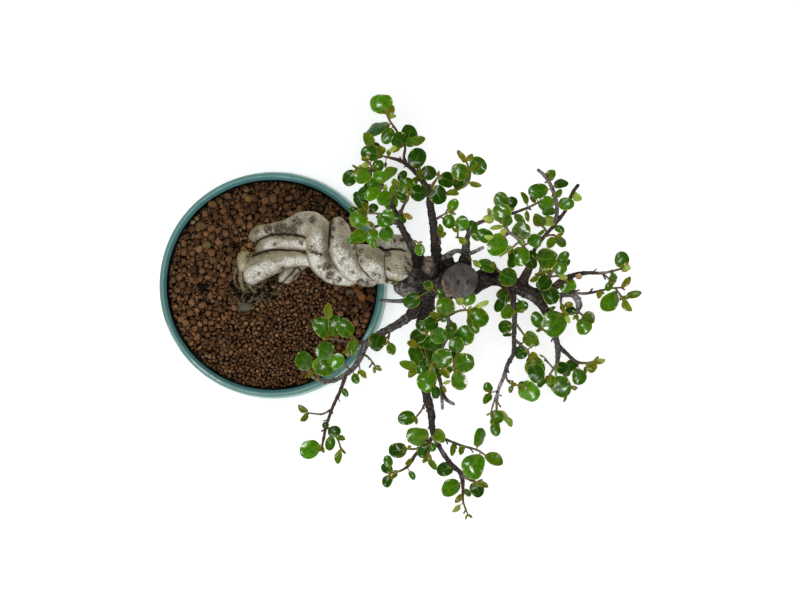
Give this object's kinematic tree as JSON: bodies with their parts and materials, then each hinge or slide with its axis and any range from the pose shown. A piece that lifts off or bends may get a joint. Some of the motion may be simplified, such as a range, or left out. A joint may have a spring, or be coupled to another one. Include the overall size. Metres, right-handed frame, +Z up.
{
  "type": "potted bonsai shrub",
  "caption": "Leaning wall cotoneaster bonsai with a twisted pale trunk and a low spreading crown of small round leaves, growing in a round glazed pot.",
  "frame": {"origin": "on the surface that the pot stands on, under the middle of the whole plant's box", "axes": "+Z up, +X from the pot towards the side that the trunk leans to, +Y to the left of that"},
  "size_m": [0.2454, 0.2072, 0.1428],
  "materials": {
    "glaze": "glossy teal glaze, thinner and greyer on the rim",
    "soil": "matt brown baked-clay granules",
    "mesh_plastic": "matt dark plastic",
    "bark": "smooth pale grey bark on the trunk, rough dark brown bark above",
    "wound_sealant": "matt dark grey dried paste",
    "leaf": "glossy green leaves with a paler edge, on dark brown twigs"
  },
  "bodies": {
    "root": {"pot": "glaze", "soil": "soil", "drain_mesh": "mesh_plastic", "trunk": "bark", "cut_paste": "wound_sealant", "branch_upper_left": "leaf", "branch_top": "leaf", "branch_middle": "leaf", "branch_upper_right": "leaf", "branch_near": "leaf", "branch_right_inner": "leaf", "branch_far_right": "leaf", "branch_right_outer": "leaf", "branch_right": "leaf", "branch_lower_right": "leaf", "branch_lower": "leaf", "branch_cluster": "leaf", "branch_left": "leaf"}
  },
  "joints": []
}
